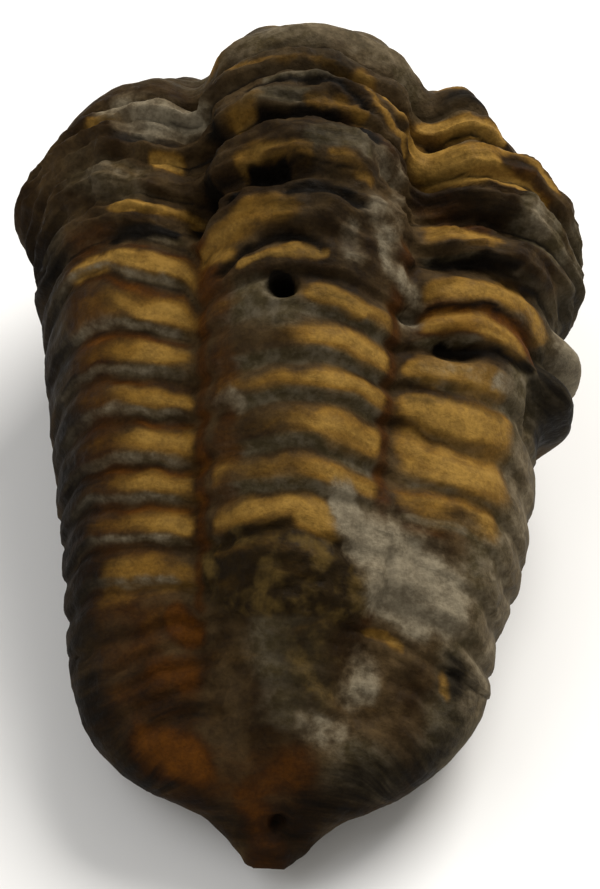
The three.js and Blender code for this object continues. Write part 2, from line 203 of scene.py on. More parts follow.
# Bands within a ring or rib: middle and width, from 0 at its rear edge to 1 at its front edge
# The groove band holds painted shade
GROOVE_BAND = (0, 0.05)
REAR_FACE_BAND = (0.12, 0.12)
RING_REAR_FACE_BAND = (0.06, 0.18)
CREST_BAND = (0.48, 0.25)
BROAD_CREST_BAND = (0.5, 0.48)
RING_CREST_BAND = (0.52, 0.28)
FRONT_SLOPE_BAND = (0.8, 0.15)

# How far the markings stray from their places, along and as a lateral share,
# and how much more than the relief they follow the ripples
STRAY_ALONG = 0.3
STRAY_ACROSS = 0.018
MARKING_RIPPLE = 1.6
# How strongly each kind of marking shows on the underside
UNDERSIDE_MARKS = {"ochre": 0, "rust": 0.2, "pale": 0.45, "grey": 0.5, "dark": 0, "olive": 0.2}

# Mesh
STATION_COUNT = 380
BACK_COLUMNS = 221
UNDERSIDE_COLUMNS = 28


def smooth_curve(points):
    """A smooth curve through points, with no overshoot between them."""
    xs, ys = np.array(points, dtype=float).T
    gaps = np.diff(xs)
    rises = np.diff(ys) / gaps
    before = 2 * gaps[1:] + gaps[:-1]
    after = gaps[1:] + 2 * gaps[:-1]
    with np.errstate(divide="ignore", invalid="ignore"):
        inner = (before + after) / (before / rises[:-1] + after / rises[1:])
    inner = np.where(rises[:-1] * rises[1:] > 0, inner, 0)
    slopes = np.concatenate([rises[:1], inner, rises[-1:]])

    def at(x):
        x = np.clip(x, xs[0], xs[-1])
        i = np.clip(np.searchsorted(xs, x, side="right") - 1, 0, len(xs) - 2)
        t = (x - xs[i]) / gaps[i]
        ahead = t * t * (3 - 2 * t)
        pull = slopes[i] * t * (1 - t) ** 2 - slopes[i + 1] * t * t * (1 - t)
        return ys[i] * (1 - ahead) + ys[i + 1] * ahead + pull * gaps[i]

    return at


def blend(low, high, x):
    """0 below low, 1 above high, and an even blend between."""
    t = np.clip((x - low) / (high - low), 0, 1)
    return t * t * (3 - 2 * t)


def window(value, low, high, soft):
    """1 between low and high, 0 outside."""
    return blend(low - soft, low + soft, value) * (1 - blend(high - soft, high + soft, value))


def bell(value, middle, width):
    """1 at the middle, falling off smoothly on both sides."""
    return np.exp(-(((value - middle) / width) ** 2))


def edge_bell(phase, middle, width):
    """A bell near the rear edge of each ring, with its part behind that edge."""
    return bell(phase, middle, width) + bell(phase, middle + 1, width)


def terraced(values, steps):
    """Values gathered into steps with short slopes between them."""
    scaled = values * steps
    floor = np.floor(scaled)
    return (floor + blend(0.3, 0.7, scaled - floor)) / steps


slope_at = smooth_curve(BACK_SLOPE_DEG)
lean_at = smooth_curve(SECTION_LEAN_DEG)
margin_height_at = smooth_curve(MARGIN_HEIGHT)
half_width_at = smooth_curve(HALF_WIDTH)
tuck_at = smooth_curve(MARGIN_TUCK)
lobe_width_at = smooth_curve(LOBE_HALF_WIDTH)
lobe_height_at = smooth_curve(LOBE_HEIGHT)
lobe_roundness_at = smooth_curve(LOBE_ROUNDNESS)
furrow_depth_at = smooth_curve(FURROW_DEPTH)
left_lead_at = smooth_curve(LEFT_RIB_LEAD)
right_lead_at = smooth_curve(RIGHT_RIB_LEAD)
side_out = smooth_curve(SIDE_OUT)
side_up = smooth_curve(SIDE_UP)
tail_ring_at = smooth_curve([(edge, i) for i, edge in enumerate(TAIL_RING_EDGES)])
segment_at = smooth_curve([(edge, i) for i, edge in enumerate(SEGMENT_EDGES)])

# The crest line, from its slope
CREST_STEP = 0.1
crest_steps = np.arange(0, BACK_LENGTH + CREST_STEP / 2, CREST_STEP)
crest_slopes = np.radians(slope_at(crest_steps[:-1] + CREST_STEP / 2))
crest_y = TAIL_TIP[0] + np.concatenate([[0], np.cumsum(np.cos(crest_slopes))]) * CREST_STEP
crest_z = TAIL_TIP[1] + np.concatenate([[0], np.cumsum(np.sin(crest_slopes))]) * CREST_STEP


class Noise:
    """Smooth random values in space, the same on each run."""

    SIZE = 32

    def __init__(self, seed):
        self.lattice = np.random.default_rng(seed).uniform(-1, 1, (self.SIZE,) * 3)

    def __call__(self, points, scale):
        cells = np.floor(points / scale).astype(int)
        t = points / scale - cells
        t = t * t * (3 - 2 * t)
        total = np.zeros(points.shape[:-1])
        for corner in product((0, 1), repeat=3):
            weight = np.prod(np.where(corner, t, 1 - t), axis=-1)
            index = (cells + corner) % self.SIZE
            total += weight * self.lattice[index[..., 0], index[..., 1], index[..., 2]]
        return total

    def layers(self, points, scale, count):
        """A sum of finer and finer noise."""
        sizes = [0.5 ** i for i in range(count)]
        return sum(size * self(points + 7.3 * i, scale * size) for i, size in enumerate(sizes))


def sweep_at(nominal, lateral):
    """How far the rings and ribs run ahead of their nominal station."""
    share = side_out(np.abs(lateral))
    lobe_share = half_width_at(nominal) * share / lobe_width_at(nominal)
    on_lobe = 1 - blend(*LOBE_END, lobe_share)
    lobe_bow = LOBE_BOW * (1 - np.minimum(lobe_share, 1) ** 2)
    reach = REAR_RIB_BOW + (FRONT_RIB_BOW - REAR_RIB_BOW) * blend(26, 38, nominal)
    rib_bow = reach * blend(0.38, 0.75, share) - RIB_END_DROP * blend(0.82, 1, share)
    tail_bow = -TAIL_RIB_DROP * blend(0.3, 1, share) * blend(3, 8, nominal)
    in_rear = blend(12, 16, nominal) * (1 - blend(22, 30, nominal))
    right_drop = RIGHT_RIB_DROP * blend(0.3, 0.8, lateral) * in_rear
    in_thorax = blend(12, 17, nominal) * (1 - blend(NECK, 58, nominal))
    in_tail = 1 - blend(12, 17, nominal)
    fade = blend(0, 4, nominal) * (1 - blend(58, 66, nominal))
    side_bow = rib_bow * in_thorax + tail_bow * in_tail - right_drop
    return (on_lobe * lobe_bow + (1 - on_lobe) * side_bow) * fade


class Back:
    """The smooth form of the back on a grid of nominal stations and lateral shares."""

    def __init__(self, nominal, lateral):
        self.nominal, self.lateral = np.broadcast_arrays(nominal, lateral)
        self.side = np.abs(self.lateral)
        self.station = self.nominal + sweep_at(self.nominal, self.lateral)
        self.share = side_out(self.side)
        self.half_width = half_width_at(self.station)
        self.lobe_share = self.half_width * self.share / lobe_width_at(self.station)
        self.on_lobe = 1 - blend(*LOBE_END, self.lobe_share)
        y = np.interp(self.station, crest_steps, crest_y)
        z = np.interp(self.station, crest_steps, crest_z)
        lean = np.radians(lean_at(self.station))
        self.height = (z - np.minimum(margin_height_at(self.station), z)) / np.cos(lean)
        x = self.half_width * (self.share - tuck_at(self.station) * blend(0.8, 1, self.side))
        bulge = 1 - (x / lobe_width_at(self.station)) ** 2
        bulge = (bulge + np.hypot(bulge, LOBE_EDGE_SOFTNESS)) / 2
        lobe = bulge ** lobe_roundness_at(self.station)
        lobe_height = lobe_height_at(self.station) * blend(0, 7, self.height)
        drop = self.height - (self.height - lobe_height) * side_up(self.side) - lobe_height * lobe
        self.places = np.stack(
            [np.sign(self.lateral) * x, y + np.sin(lean) * drop, z - np.cos(lean) * drop], axis=-1
        )

    def spot(self, at, reach, mirrored=False):
        """How strongly a spot is felt: 1 at its middle, falling off past its reach."""
        lateral = self.side if mirrored else self.lateral
        across = (lateral - at[1]) * SIDE_LENGTH * self.half_width / SIDE_LENGTH_HALF_WIDTH
        distance = np.hypot((self.station - at[0]) / reach[0], across / reach[1])
        return np.exp(-FALL_OFF * distance ** 4)

    def stroke(self, points, reach, power):
        """How strongly a stroke through points (nominal station, lateral share) is felt."""
        scale = SIDE_LENGTH * self.half_width / SIDE_LENGTH_HALF_WIDTH
        distance = np.full(self.station.shape, np.inf)
        for start, end in zip(points, points[1:] or points):
            along = self.nominal - start[0]
            across = (self.lateral - start[1]) * scale
            run = end[0] - start[0], (end[1] - start[1]) * scale
            share = np.clip((along * run[0] + across * run[1]) / (run[0] ** 2 + run[1] ** 2 + 1e-9), 0, 1)
            distance = np.minimum(distance, np.hypot(along - share * run[0], across - share * run[1]))
        return np.exp(-FALL_OFF * (distance / reach) ** power)

    def area(self, name):
        """1 within a named area, 0 outside."""
        along, across = AREAS[name]
        return window(self.station, *along) * window(self.lateral, *across)

    def bare(self):
        """1 on clean armour, lower where rock covers the rings."""
        left = np.ones_like(self.station)
        for at, reach in COVERED:
            left *= 1 - COVERED_SHARE * self.spot(at, reach)
        return left

    def phases(self, ripple):
        """The place within a ring or segment, from 0 at its rear edge to 1 at its front edge."""
        lead = np.where(self.lateral < 0, left_lead_at(self.nominal), right_lead_at(self.nominal))
        nominal = self.nominal + ripple - (1 - self.on_lobe) * lead
        tail = tail_ring_at(nominal) % 1
        thorax = segment_at(nominal) % 1
        return nominal, tail, thorax

    def relief(self, ripple):
        """Height over the smooth form, with the ring edges shifted by a ripple."""
        nominal, tail_phase, phase = self.phases(ripple)
        bare = self.bare()
        neck_ring = np.sin(np.pi * np.clip((nominal - NECK) / (NECK_FURROW - 0.8 - NECK), 0, 1))
        neck_furrow = bell(nominal, NECK_FURROW, 0.7)
        head = NECK_RING_RELIEF * neck_ring * (0.55 + 0.45 * self.on_lobe)
        head = head - NECK_FURROW_DEPTH * neck_furrow * (0.4 + 0.6 * self.on_lobe)
        front = blend(34, 44, nominal)
        segment_height = REAR_SEGMENT_RELIEF * (1 - front) + FRONT_SEGMENT_RELIEF * front
        profile = blend(0, 0.2, phase) * (1 - blend(0.5, 1, phase) ** 1.5) - 0.35
        thorax = segment_height * bare * profile
        tail_fade = (1 - blend(0.7, 0.95, self.share)) * blend(TAIL_RING_EDGES[0], 9, nominal)
        tail = TAIL_RING_RELIEF * bare * tail_fade * (np.sin(np.pi * tail_phase) ** 0.8 - 0.5)
        rings = np.select(
            [nominal >= NECK, nominal >= SEGMENT_EDGES[0], nominal >= TAIL_RING_EDGES[0]],
            [head, thorax, tail],
            0,
        )
        furrow = furrow_depth_at(nominal) * bare * bell(self.lobe_share, FURROW_PLACE, FURROW_WIDTH)
        border = FRONT_BORDER_RELIEF * bell(nominal, FRONT_BORDER, 1.2)
        height = rings * blend(1, 7, self.height) * (1 - 0.4 * blend(0.85, 1, self.share))
        height = height - furrow + border
        for at, reach, rise in SPOTS.values():
            height = height + rise * self.spot(at, reach)
        for at, reach, rise in HEAD_SPOTS.values():
            height = height + rise * self.spot(at, reach, mirrored=True)
        return height


def normals_of(places):
    """Outward unit normals of a grid of points."""
    along = np.gradient(places, axis=0)
    across = np.gradient(places, axis=1)
    normals = np.cross(across, along)
    return normals / (np.linalg.norm(normals, axis=-1, keepdims=True) + 1e-12)


# Markings: strokes through points (nominal station, lateral share), half of their width,
# and how strongly they show
OCHRE_MARKS = {
    "left of the cap": ([(51, -0.27), (53.6, -0.25)], 0.9, 1),
    "forehead": ([(57, -0.16), (58.6, 0.08)], 0.7, 0.45),
    "right cheek": ([(57, 0.5), (56.6, 0.66)], 0.7, 0.6),
    "nub on the left shoulder": ([(47, -0.58), (46.8, -0.51)], 0.45, 0.8),
    "twelfth left rib": ([(43, -0.42), (43.3, -0.37)], 0.6, 1.7),
    "eleventh left rib": ([(38.7, -0.52), (39.1, -0.44), (39.4, -0.36)], 0.45, 0.85),
    "its bend into the furrow": ([(39.3, -0.345), (38.2, -0.325)], 0.35, 0.85),
    "tenth left rib": ([(34.7, -0.64), (35.1, -0.52), (35, -0.38)], 0.62, 1),
    "arch of the thirteenth ring": ([(48.4, -0.28), (47.3, -0.15), (47.2, 0), (46.9, 0.12)], 0.2, 0.5),
    "right end of that arch": ([(46.8, 0.12), (46, 0.2), (45.9, 0.26), (46.6, 0.32)], 0.6, 0.75),
    "second arch": ([(45.9, 0.1), (44.9, 0.18), (44, 0.27)], 0.3, 0.75),
    "right patch on the twelfth ring": ([(43.9, 0), (44, 0.08), (43.8, 0.14)], 0.42, 0.65),
    "left patch on the twelfth ring": ([(43.5, -0.2), (43.9, -0.16)], 0.65, 0.7),
    "eleventh ring": ([(40, -0.18), (40.3, -0.1), (40.2, 0)], 0.65, 0.95),
    "small patch on the eleventh ring": ([(39.8, 0.07), (39.5, 0.17)], 0.38, 0.9),
    "tenth ring": ([(35.9, -0.24), (36.6, -0.15), (36.7, -0.04)], 0.7, 0.75),
    "lower left of the tenth ring": ([(35.6, -0.29), (34.6, -0.22)], 0.5, 0.75),
    "right of the hole": ([(31.7, 0.05), (31.3, 0.17)], 0.6, 0.95),
    "ninth ring": ([(33.5, -0.17), (33.9, -0.07), (34, 0.07)], 0.38, 1),
    "top edge of the knob": ([(51.5, 0.36), (51, 0.42)], 0.35, 0.7),
    "thirteenth right rib": ([(47.6, 0.34), (47.5, 0.43), (47.3, 0.52)], 0.6, 1.8),
    "twelfth right rib": ([(44.9, 0.34), (44.4, 0.4), (43.9, 0.46)], 1.15, 1.7),
    "outer part of the twelfth right rib": ([(43.5, 0.47), (43.2, 0.56), (42.8, 0.64)], 0.55, 1.3),
    "line above the twelfth right rib": ([(45.2, 0.43), (45, 0.55), (44.4, 0.66)], 0.3, 1.1),
    "tenth right rib": ([(38.8, 0.38), (38.4, 0.46), (38.1, 0.52)], 0.65, 0.9),
    "ninth right rib": ([(34.6, 0.39), (34.5, 0.55), (34.8, 0.66), (34.2, 0.73)], 0.6, 0.85),
    "eighth right rib": ([(32.6, 0.4), (32.5, 0.52), (31.6, 0.66)], 0.6, 0.7),
    "seventh right rib": ([(29.6, 0.37), (29.3, 0.5), (29.2, 0.62)], 0.75, 0.8),
    "spot beside the dark block": ([(19.3, 0.06), (19, 0.12)], 0.9, 1.2),
    "third left rib": ([(16.2, -0.6), (16.4, -0.36)], 0.9, 0.52),
    "line on the rear right": ([(13.7, 0.31), (13.6, 0.42)], 0.32, 0.7),
    "spot on the rear right": ([(13.2, 0.58), (12.6, 0.6)], 0.45, 0.75),
}
RUST_MARKS = {
    "tail left of the middle": ([(7.9, -0.55), (6.4, -0.42)], 1.6, 1.25),
    "tail tip": ([(1, 0), (3.6, -0.2), (5.6, 0.12)], 1.4, 0.7),
    "rear left blotch": ([(13.9, -0.37), (13.2, -0.33)], 0.9, 0.9),
    "lower left blotch": ([(11.6, -0.44), (11, -0.36)], 1.2, 0.8),
    "outer end of the twelfth right rib": ([(43.4, 0.55), (43, 0.64)], 0.7, 0.7),
    "eighth right rib": ([(32.8, 0.4), (32.6, 0.7)], 1, 0.9),
    "below the twelfth ring": ([(43.2, 0.1), (42, 0.2)], 0.5, 0.5),
    "front right ribs": ([(41.6, 0.36), (38.6, 0.5)], 1, 0.45),
    "tenth right rib": ([(39.3, 0.42), (39, 0.5)], 0.8, 0.6),
    "left of the tenth ring": ([(36.5, -0.3), (33, -0.26)], 0.8, 0.7),
    "rear left ribs": ([(20, -0.62), (10, -0.5)], 3.5, 0.45),
    "outer ends of the left ribs": ([(36, -0.62), (18, -0.62)], 2.2, 0.5),
    "left of the lobe": ([(33, -0.23), (18, -0.2)], 1, 0.5),
    "rear of the tail": ([(4.5, -0.5), (3.5, 0.2)], 2.4, 0.45),
}
PALE_MARKS = {
    "left shoulder": ([(48, -0.52), (47.2, -0.44)], 1.4, 0.8),
    "lower left shoulder": ([(45.8, -0.46), (46.9, -0.38), (47.6, -0.31)], 1.1, 0.85),
    "middle of the left shoulder": ([(42, -0.6), (41.6, -0.5)], 0.5, 0.6),
    "upper rock right of the crest": ([(42.2, 0.14), (40.8, 0.21)], 0.6, 0.6),
    "rock along the right furrow": ([(41.4, 0.25), (39.5, 0.27), (37.6, 0.24)], 0.6, 0.45),
    "middle rock right of the crest": ([(38.2, 0.2), (37.2, 0.18)], 0.8, 0.6),
    "lower rock right of the crest": ([(35.7, 0.14), (34.4, 0.15)], 0.7, 0.6),
    "rock running into the right furrow": ([(36.6, 0.22), (35, 0.27), (34.2, 0.34)], 0.7, 0.7),
    "upper stub": ([(34.9, 0.83), (35.4, 0.9)], 1.3, 1.2),
    "broken right rib": ([(41.2, 0.61), (40.4, 0.65)], 0.9, 0.75),
    "cap": ([(52, -0.12), (51.6, 0.2)], 2.6, 0.5),
    "rim of the ring-shaped pit": ([(33, 0.35)], 0.9, 0.65),
    "rock left of the lobe": ([(26.2, -0.22), (25.6, -0.17)], 0.6, 0.6),
    "end of the seventh right rib": ([(29.4, 0.6), (29.5, 0.65)], 0.6, 0.7),
    "seventh right rib": ([(29.8, 0.4), (29.4, 0.6)], 0.6, 0.36),
    "rear right ribs": ([(18.8, 0.3), (18, 0.42), (17, 0.54)], 2, 1),
    "tongue of rock to the lobe": ([(20.4, 0.18), (18.5, 0.26)], 1.3, 1),
    "behind the dark block": ([(16.2, 0.3), (15.6, 0.45)], 1.4, 0.9),
    "right patch on the tail": ([(11.6, 0.3), (10.2, 0.29)], 1.1, 0.68),
    "middle patch on the tail": ([(8, 0.12), (7.9, 0.25)], 0.9, 0.6),
    "rear right flank": ([(27, 0.8), (14, 0.76)], 2.4, 0.55),
}
GREY_MARKS = {
    "cap": ([(52, -0.12), (52.5, 0.2)], 2.8, 1.1),
    "head": ([(56, -0.2), (56, 0.2), (66, 0), (58, 0)], 9, 0.55),
    "twelfth ring": ([(44.3, -0.16), (44.4, 0)], 0.5, 0.9),
    "thirteenth ring": ([(45.8, -0.12), (45.7, 0.05)], 0.35, 0.8),
    "eleventh ring": ([(41, 0.02), (41.2, 0.14)], 0.8, 1),
    "beside the hole": ([(31.4, -0.17), (30.8, -0.04)], 1.4, 1),
    "broken right rib": ([(41.3, 0.62), (40.2, 0.68)], 1.3, 1.5),
    "line above the twelfth right rib": ([(46.3, 0.35), (46.2, 0.5)], 0.25, 0.8),
    "upper stub": ([(35.4, 0.86)], 2, 1.1),
    "top of the knob": ([(51.6, 0.38), (51.2, 0.46)], 0.7, 0.8),
    "right of the cap": ([(52, 0.22), (49.8, 0.27)], 1, 0.8),
    "left shoulder": ([(43, -0.6), (41, -0.5)], 2, 0.5),
    "left flank": ([(38, -0.72), (28, -0.72)], 1.6, 0.5),
    "middle of the tail": ([(12.5, 0), (10, 0.06)], 2.4, 0.75),
    "right of the tail": ([(6.5, 0.35), (6.5, 0.6)], 1.8, 0.7),
    "rear right flank": ([(29, 0.78), (12, 0.76)], 3.2, 1.4),
    "right edge": ([(48, 0.82), (33, 0.82)], 2.2, 0.8),
}
UNDER_THIRTEENTH_RING = [(45.3, -0.18), (45.5, -0.08), (45.4, 0), (45, 0.09), (44.2, 0.17)]
# Dark markings: mostly painted shade, in holes, pits and cracks, under and behind rings and ribs, and over
# the flanks and the tail; dark stone on the lower stub and the knob
SHADE_AND_DARK_STONE_MARKS = {
    "pit in the left furrow": ([(39.8, -0.31), (38.3, -0.31)], 0.9, 1.1),
    "undercut above the pit": ([(38.1, -0.22), (39.5, -0.17), (39.4, -0.06)], 0.38, 1.1),
    "under the thirteenth ring": (UNDER_THIRTEENTH_RING, 0.24, 0.9),
    "under the twelfth ring": ([(43.2, -0.13), (43.4, -0.03), (42.8, 0.13), (42, 0.18)], 0.5, 0.9),
    "under the eleventh ring": ([(37.7, -0.03), (38.2, 0.06), (37.6, 0.15)], 0.6, 0.9),
    "left furrow at the twelfth ring": ([(44.5, -0.26), (41.5, -0.27)], 0.7, 0.85),
    "arch above the ninth ring": ([(33.6, -0.24), (34.8, -0.17), (35, -0.08), (34.4, 0.05)], 0.4, 0.7),
    "hole in the lobe": ([(32.15, -0.07), (32.15, -0.04)], 0.5, 1.8),
    "knob on the right cheek": ([(50, 0.38), (49.7, 0.46)], 0.7, 0.7),
    "under the twelfth right rib": ([(41.8, 0.36), (40.9, 0.46), (40.2, 0.54)], 1.15, 0.62),
    "gap between right ribs": ([(36.8, 0.38), (36.5, 0.5), (36.4, 0.6)], 0.55, 0.8),
    "behind the ninth right rib": ([(33.5, 0.39), (33.6, 0.58)], 0.2, 0.7),
    "hole between right ribs": ([(31, 0.45), (30.8, 0.49)], 0.42, 1.1),
    "behind the eighth right rib": ([(30.8, 0.5), (31.3, 0.7)], 0.4, 0.75),
    "behind the seventh right rib": ([(27.9, 0.38), (27.9, 0.64)], 0.35, 0.5),
    "lower stub": ([(31.8, 0.78), (30.4, 0.86)], 1.7, 0.75),
    "shoulder below the pale rock": ([(44.9, -0.5), (45.2, -0.38)], 0.5, 0.7),
    "under the eleventh left rib": ([(36.7, -0.54), (37.6, -0.38)], 0.5, 0.95),
    "left tip": ([(44, -0.85)], 1.8, 0.7),
    "left of the tail": ([(10, -0.5), (9.3, -0.4), (8.8, -0.3)], 0.8, 0.5),
    "purple shade on the rear right": ([(14.2, 0.63), (13.4, 0.64)], 1.1, 0.7),
    "pit in the tail tip": ([(2.4, 0.07)], 0.6, 0.8),
    "left flank": ([(39, -0.8), (8, -0.76)], 3.2, 0.7),
    "rear left ribs": ([(14, -0.62), (9, -0.56)], 2.2, 0.35),
    "front of the lobe": ([(45, 0), (35, 0.05)], 5, 0.5),
    "left side of the tail": ([(9, -0.8), (3, -0.55)], 2.2, 0.6),
    "right side of the tail": ([(3, 0.3), (7.5, 0.7)], 3, 0.7),
    "tail tip": ([(1, 0), (3, 0)], 2, 0.22),
    "right shoulder": ([(42, 0.4), (39, 0.6)], 1.6, 0.5),
    "right ribs behind the shoulder": ([(37, 0.4), (36, 0.75)], 1.2, 0.4),
    "right edge": ([(47, 0.84), (39, 0.84)], 2.4, 0.5),
    "right of the rear": ([(13.5, 0.66), (9, 0.7)], 2, 0.5),
}
OLIVE_MARKS = {
    "dark block on the rear rings": ([(16.6, -0.13), (16.4, 0.16)], 2.3, 1.4),
    "below the block": ([(12.5, 0.08), (10.5, 0.12)], 2.2, 0.5),
}
# Narrow cracks and ledges in the back: strokes, half of their width, and depth
CRACKS = {
    "undercut above the pit": ([(38.1, -0.22), (39.4, -0.17), (39.3, -0.06)], 0.3, 0.7),
    "under the thirteenth ring": (UNDER_THIRTEENTH_RING, 0.22, 0.3),
    "under the twelfth ring": ([(43, -0.13), (43.2, -0.03), (42.6, 0.13), (41.9, 0.18)], 0.35, 0.45),
    "under the eleventh ring": ([(37.7, -0.05), (38, 0.06), (37.5, 0.16)], 0.35, 0.5),
    "arch above the ninth ring": ([(33.4, -0.24), (34.7, -0.17), (34.9, -0.08), (34.3, 0.06)], 0.3, 0.45),
    "under the thirteenth right rib": ([(46.7, 0.35), (46.5, 0.46), (46, 0.58)], 0.25, 0.4),
    "under the twelfth right rib": ([(43, 0.36), (42.4, 0.44), (42, 0.56)], 0.35, 0.6),
    "left furrow at the twelfth ring": ([(44.3, -0.27), (41.5, -0.28)], 0.5, 0.5),
    "under the eleventh left rib": ([(37.2, -0.54), (38.1, -0.37)], 0.3, 0.4),
    "behind the lower stub": ([(32.6, 0.74), (29.3, 0.77)], 0.5, 0.8),
    "between the stubs": ([(33.5, 0.8), (33.3, 0.96)], 0.35, 0.6),
    "edge of the dark block": ([(18.3, -0.12), (18.5, 0.05), (17.6, 0.2), (15, 0.22)], 0.3, 0.14),
}


def grid_stations():
    """Nominal stations of the mesh, closer together where the rings are."""
    weights = smooth_curve([(0, 1.3), (7, 1.2), (14, 1), (48, 1), (56, 1.5), (68, 1.5), (74, 1.2)])
    fine = np.linspace(0, BACK_LENGTH, 2000)
    density = np.cumsum(1 / weights(fine))
    density = (density - density[0]) / (density[-1] - density[0])
    return np.interp(np.linspace(0, 1, STATION_COUNT + 2), density, fine)[1:-1]


stations = grid_stations()
laterals = np.linspace(-1, 1, BACK_COLUMNS)
back = Back(stations[:, None], laterals[None, :])
ripple_noise = Noise(11)
rock_noise = Noise(23)
grain_noise = Noise(37)
ripple = RIPPLE_HEIGHT * ripple_noise(back.places, 3.1)
ripple += FINE_RIPPLE_HEIGHT * ripple_noise(back.places, 1.1)
ripple = ripple * blend(5, 9, back.nominal) * (1 - blend(56, 60, back.nominal))

# The markings stray a little from their places, so that no edge is even
stray_noise = Noise(51)
strayed = copy.copy(back)
strayed.nominal = back.nominal + STRAY_ALONG * stray_noise.layers(back.places, 1.5, 4)
strayed.lateral = back.lateral + STRAY_ACROSS * stray_noise.layers(back.places + 40, 1.5, 4)

relief = back.relief(ripple)
front = window(back.station, 37, 50, 3) * (1 - 0.8 * blend(0.76, 0.92, back.side))
covered = (1 - back.bare()) / COVERED_SHARE
roughness = 0.4 + 0.5 * covered + 0.7 * front + 0.4 * back.area("rubble")
relief += LUMP_HEIGHT * roughness * rock_noise.layers(back.places, 2.1, 4)
relief += CHUNK_HEIGHT * (roughness - 0.3) * terraced(grain_noise.layers(back.places, 1.7, 3), 3)
# Thin layers run along the rings
flow = np.stack([0.25 * back.lateral * back.half_width, back.nominal + ripple, 3 + 0 * ripple], axis=-1)
flow_noise = grain_noise.layers(flow, 0.9, 3)
relief += (LAYER_HEIGHT * roughness + FRONT_LAYER_HEIGHT * front) * terraced(flow_noise, 3)
for points, reach, depth in CRACKS.values():
    relief -= depth * strayed.stroke(points, reach, power=2)
relief *= blend(0, 0.4, back.nominal) * (1 - blend(72.5, 74, back.nominal))
back_points = back.places + normals_of(back.places) * relief[..., None]


def underside_points(back_points):
    """Rows of points from the right margin to the left one."""
    right = back_points[:, -1:, :]
    left = back_points[:, :1, :]
    steps = np.linspace(0, 1, UNDERSIDE_COLUMNS + 2)[1:-1]
    points = right + (left - right) * steps[None, :, None]
    from_middle = np.abs(2 * steps - 1)[None, :]
    end_rise = blend(FLAT_FROM_Y, FLAT_TO_Y, np.abs(points[..., 1]))
    rise = np.maximum(blend(FLAT_SHARE, 1, from_middle), end_rise)
    lumps = rock_noise.layers(points * (1, 1, 0), 2.4, 3)
    points[..., 2] = points[..., 2] * rise + (UNDERSIDE_LUMP_HEIGHT + 0.5 * rise * (1 - rise)) * (1 + lumps)
    return points


def make_mesh(name, grid, tail, head):
    """A closed mesh from rings of points and a point at each end."""
    rings, size = grid.shape[:2]
    vertices = np.concatenate([[tail], grid.reshape(-1, 3), [head]])
    corner = 1 + np.arange(rings * size).reshape(rings, size)
    beside = np.roll(corner, -1, axis=1)
    quads = np.stack([corner[:-1], beside[:-1], beside[1:], corner[1:]], axis=-1).reshape(-1, 4)
    tail_fan = [(0, b, a) for a, b in zip(corner[0], beside[0])]
    head_fan = [(len(vertices) - 1, a, b) for a, b in zip(corner[-1], beside[-1])]
    mesh = bpy.data.meshes.new(name)
    mesh.from_pydata((vertices * MM).tolist(), [], quads.tolist() + tail_fan + head_fan)
    mesh.shade_smooth()
    return mesh


def add_attribute(mesh, name, values, below):
    """Writes one number per vertex, with one value for the whole underside."""
    underside = np.full((STATION_COUNT, UNDERSIDE_COLUMNS), float(below))
    numbers = np.concatenate([[0], np.concatenate([values, underside], axis=1).ravel(), [0]])
    attribute = mesh.attributes.new(name, "FLOAT", "POINT")
    attribute.data.foreach_set("value", numbers.astype(np.float32))


def marks_on(place, marks):
    """The strongest of a set of markings at each place."""
    strongest = np.zeros_like(place.station)
    for points, reach, strength in marks.values():
        strongest = np.maximum(strongest, strength * place.stroke(points, reach, power=3))
    return strongest


nominal, tail_phase, thorax_phase = back.phases(MARKING_RIPPLE * ripple)
phase = np.where(nominal >= SEGMENT_EDGES[0], thorax_phase, tail_phase)
in_rings = window(nominal, TAIL_RING_EDGES[0], NECK, 0.1)
bare = back.bare()

left_ribs = back.area("left ribs")
right_ribs = back.area("right ribs")
ribs = left_ribs + right_ribs
rings = back.area("rings")
left_of_rings = (1 - blend(-0.14, 0.07, back.lateral)) * blend(20, 24, back.station)

# Within a rib, from its rear edge: a grey rear face, a tan crest, an orange slope and painted shade in the
# groove
patches = 1 + 0.4 * stray_noise.layers(back.places + 80, 1.9, 3)
groove = edge_bell(phase, *GROOVE_BAND)
rear_face = edge_bell(phase, *REAR_FACE_BAND)
front_slope = bell(phase, *FRONT_SLOPE_BAND)
inner = 1 - 0.72 * blend(0.43, 0.6, back.side) * (back.lateral < 0)
left_ochre = bell(phase, *CREST_BAND) * left_ribs * inner
right_ochre = 1.1 * bell(phase, *BROAD_CREST_BAND) * right_ribs
ring_ochre = 0.9 * bell(phase, *RING_CREST_BAND) * rings * (1 - 0.75 * left_of_rings)
ochre = np.maximum(np.maximum(left_ochre, right_ochre), ring_ochre) * patches * bare
broken = 1 - 0.4 * front * blend(-0.1, 0.6, flow_noise)
ochre = np.maximum(ochre, marks_on(strayed, OCHRE_MARKS) * broken)

rib_grey = rear_face * window(back.side, 0.36, 0.78, 0.05) * window(back.station, 15, 38, 1)
ring_grey = edge_bell(phase, *RING_REAR_FACE_BAND) * rings
grey = np.maximum(marks_on(strayed, GREY_MARKS), np.maximum(ring_grey, rib_grey))
pale = np.maximum(marks_on(strayed, PALE_MARKS), 0.6 * rib_grey * (back.lateral < 0))

furrows = window(back.side, 0.27, 0.32, 0.02) * window(back.station, 14, 37, 1)
rust = np.maximum(0.6 * furrows, 0.65 * ribs * front_slope * patches)
rust = np.maximum(rust, marks_on(strayed, RUST_MARKS))

